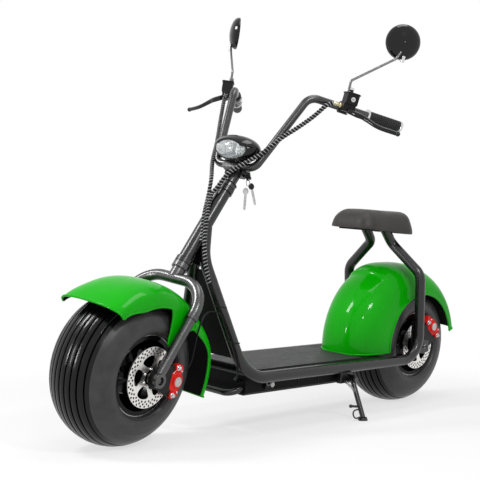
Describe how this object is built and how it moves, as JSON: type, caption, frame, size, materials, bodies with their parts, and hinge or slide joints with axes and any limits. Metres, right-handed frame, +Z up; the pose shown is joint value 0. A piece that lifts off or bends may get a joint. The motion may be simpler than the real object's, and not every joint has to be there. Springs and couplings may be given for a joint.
{
  "type": "electric motor scooter",
  "caption": "Low electric motor scooter on wide balloon tyres with a bent tube frame, foot deck, high bars and round mudguards, parked leaning on its side stand.",
  "frame": {"origin": "on the ground, at the middle of the bounding box's bottom", "axes": "+X forward along the wheelbase, +Y to the rider's left, +Z up from the ground"},
  "size_m": [1.769, 0.8373, 1.3924],
  "materials": {
    "frame_paint": "satin dark grey paint",
    "gloss_black_metal": "gloss black paint",
    "black_plastic": "matt black",
    "black_panel": "satin black paint",
    "mat_rubber": "dark textured mat",
    "green_shell": "bright green gloss",
    "red_caliper": "gloss red",
    "disc_steel": "brushed",
    "tyre": "new black rubber",
    "rim_black": "gloss black paint",
    "plated_steel": "zinc plated",
    "seat_cover": "dark brown leather look",
    "grip_rubber": "ribbed black rubber",
    "gloss_black": "gloss black",
    "lens": "clear",
    "chrome": "polished"
  },
  "bodies": {
    "frame": {"rail_left": "frame_paint", "rail_right": "frame_paint", "head_tube": "frame_paint", "head_gusset": "frame_paint", "shield": "black_panel", "foot_board": "black_plastic", "deck_mat": "mat_rubber", "battery_box": "black_plastic", "charge_port": "black_plastic", "cross_tubes": "frame_paint", "belly_guard": "frame_paint", "axle_plates": "frame_paint", "rear_axle": "plated_steel", "rear_caliper": "red_caliper", "rear_brake_bracket": "gloss_black_metal", "rear_fender": "green_shell", "seat_pan": "black_plastic", "seat_cushion": "seat_cover", "stand_bracket": "frame_paint"},
    "steering": {"fork_crown": "frame_paint", "fork_leg_left": "frame_paint", "fork_leg_right": "frame_paint", "front_axle": "plated_steel", "front_caliper": "red_caliper", "front_brake_bracket": "gloss_black_metal", "front_fender": "green_shell", "stem": "gloss_black_metal", "handlebar": "frame_paint", "grip_left": "grip_rubber", "grip_right": "grip_rubber", "perch_left": "gloss_black", "perch_right": "gloss_black", "lever_left": "gloss_black", "lever_right": "gloss_black", "headlight": "gloss_black", "headlight_lens": "lens", "mirror_arm_left": "chrome", "mirror_arm_right": "chrome", "mirror_left": "gloss_black", "mirror_right": "gloss_black", "key_lock": "chrome"},
    "front_wheel": {"front_tyre": "tyre", "front_rim": "rim_black", "front_disc": "disc_steel"},
    "rear_wheel": {"rear_tyre": "tyre", "rear_rim": "rim_black", "rear_disc": "disc_steel"},
    "side_stand": {"stand_leg": "frame_paint"}
  },
  "joints": [
    {"name": "steering_turn", "type": "hinge", "parent": "frame", "child": "steering", "pos_m": [0.662, -0.06039, 0.22468], "axis": [-0.5736, 0.0714, 0.816], "range_deg": [-47.4, 28.6]},
    {"name": "front_wheel_spin", "type": "hinge", "parent": "steering", "child": "front_wheel", "pos_m": [0.662, -0.06039, 0.22468], "axis": [-0.1338, 0.9747, -0.1793], "continuous": true},
    {"name": "rear_wheel_spin", "type": "hinge", "parent": "frame", "child": "rear_wheel", "pos_m": [-0.638, -0.06039, 0.22468], "axis": [0, 0.9962, -0.0872], "continuous": true},
    {"name": "stand_fold", "type": "hinge", "parent": "frame", "child": "side_stand", "pos_m": [-0.192, 0.09212, 0.13204], "axis": [0, 0.9962, -0.0872], "range_deg": [0, 75]}
  ]
}
